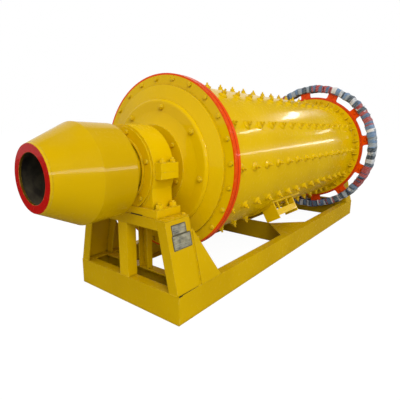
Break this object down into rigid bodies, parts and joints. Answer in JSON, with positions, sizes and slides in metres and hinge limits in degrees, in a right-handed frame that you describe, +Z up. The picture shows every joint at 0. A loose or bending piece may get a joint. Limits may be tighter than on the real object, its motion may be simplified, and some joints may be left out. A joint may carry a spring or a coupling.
{
  "type": "ball mill",
  "caption": "Horizontal ball mill: a lined drum with a cone feed drum and a wrapped girth gear, turning in two trunnion bearings on a welded steel base.",
  "frame": {"origin": "on the floor, under the middle of the mill's whole length and on its centre line", "axes": "+X along the mill's axis from the feed end to the discharge end, +Z up"},
  "size_m": [4.642, 1.7406, 1.8603],
  "materials": {
    "yellow_enamel": "glossy enamel",
    "red_enamel": "glossy enamel",
    "bearing_bronze": "machined",
    "liner_steel": "as cast",
    "woven_wrap": "woven strips"
  },
  "bodies": {
    "root": {"side_beam_right": "yellow_enamel", "side_beam_left": "yellow_enamel", "feed_end_channel": "yellow_enamel", "feed_inner_channel": "yellow_enamel", "middle_cross_plate": "yellow_enamel", "middle_gussets_feed_side": "yellow_enamel", "middle_gussets_discharge_side": "yellow_enamel", "discharge_inner_channel": "yellow_enamel", "discharge_end_channel": "yellow_enamel", "feed_leg_right": "yellow_enamel", "feed_leg_left": "yellow_enamel", "feed_table": "yellow_enamel", "feed_centre_post": "yellow_enamel", "feed_brace_right": "yellow_enamel", "feed_brace_left": "yellow_enamel", "feed_bearing_pedestal": "yellow_enamel", "feed_bearing_cap": "yellow_enamel", "feed_bearing_liner": "bearing_bronze", "feed_bearing_outer_cover": "yellow_enamel", "feed_bearing_inner_cover": "yellow_enamel", "discharge_leg_right": "yellow_enamel", "discharge_leg_left": "yellow_enamel", "discharge_table": "yellow_enamel", "discharge_centre_post": "yellow_enamel", "discharge_bearing_pedestal": "yellow_enamel", "discharge_bearing_cap": "yellow_enamel", "discharge_bearing_liner": "bearing_bronze", "discharge_bearing_outer_cover": "yellow_enamel", "discharge_bearing_inner_cover": "yellow_enamel"},
    "drum": {"feed_mouth_ring": "red_enamel", "feed_drum": "yellow_enamel", "feed_drum_back_plate": "yellow_enamel", "feed_trunnion": "yellow_enamel", "feed_head": "yellow_enamel", "feed_shell_flange": "red_enamel", "barrel_shell": "yellow_enamel", "barrel_liner": "liner_steel", "manhole_collar": "yellow_enamel", "manhole_cover": "yellow_enamel", "manhole_bracket": "yellow_enamel", "discharge_shell_flange": "yellow_enamel", "girth_gear": "red_enamel", "gear_wrap": "woven_wrap", "discharge_head": "yellow_enamel", "discharge_trunnion": "yellow_enamel"}
  },
  "joints": [
    {"name": "drum_spin", "type": "hinge", "parent": "root", "child": "drum", "pos_m": [0, 0, 0.99], "axis": [1, 0, 0], "continuous": true}
  ]
}
